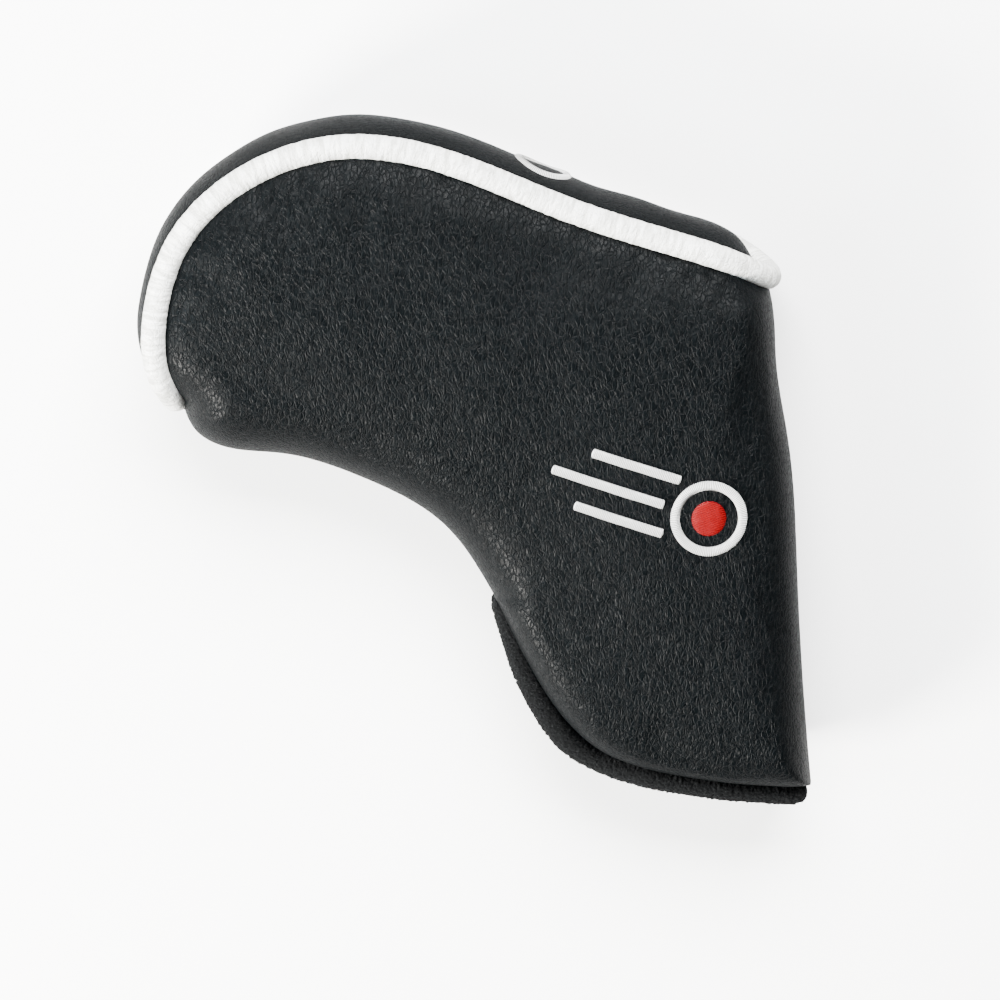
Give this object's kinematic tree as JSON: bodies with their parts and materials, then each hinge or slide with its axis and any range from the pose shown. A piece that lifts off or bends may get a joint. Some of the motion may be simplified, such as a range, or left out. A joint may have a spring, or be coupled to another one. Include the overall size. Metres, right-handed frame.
{
  "type": "putter head cover",
  "caption": "Padded leather cover for a blade putter head, with piped sole gusset, plush lining and a front flap that bends open.",
  "frame": {"origin": "point on the flat back, in the plane the cover rests on, near the middle of the outline", "axes": "+Z out of the front panel, +Y towards the sole and its gusset, +X towards the heel, mouth at -Y"},
  "size_m": [0.1636, 0.17, 0.0408],
  "materials": {
    "black_leather": "satin grained synthetic leather",
    "white_piping": "satin, finely wrinkled",
    "cord_core": "matt twisted cotton",
    "foam": "matt foam",
    "plush": "short pile",
    "magnet": "nickel plated",
    "tape": "matt woven tape",
    "white_thread": "satin stitch",
    "red_thread": "satin stitch",
    "stiffener": "matt felt"
  },
  "bodies": {
    "cover": {"front_panel": "black_leather", "back_panel": "black_leather", "sole_gusset": "black_leather", "piping_cover": "white_piping", "piping_cord": "cord_core", "front_foam": "foam", "back_foam": "foam", "gusset_foam": "foam", "front_plush": "plush", "back_plush": "plush", "gusset_plush": "plush", "back_hem": "plush", "back_magnets": "magnet", "back_magnet_tape": "tape", "emblem_white": "white_thread", "emblem_red": "red_thread", "emblem_backing": "stiffener", "gusset_emblem": "white_thread", "gusset_emblem_backing": "stiffener"},
    "flap": {"flap_panel": "black_leather", "flap_foam": "foam", "flap_plush": "plush", "flap_hem": "plush", "flap_magnets": "magnet", "flap_magnet_tape": "tape"}
  },
  "joints": [
    {"name": "flap_bend", "type": "hinge", "parent": "cover", "child": "flap", "pos_m": [0.0428, -0.056, 0.04], "axis": [-0.8633, 0.5047, 0], "range_deg": [0, 45]}
  ]
}
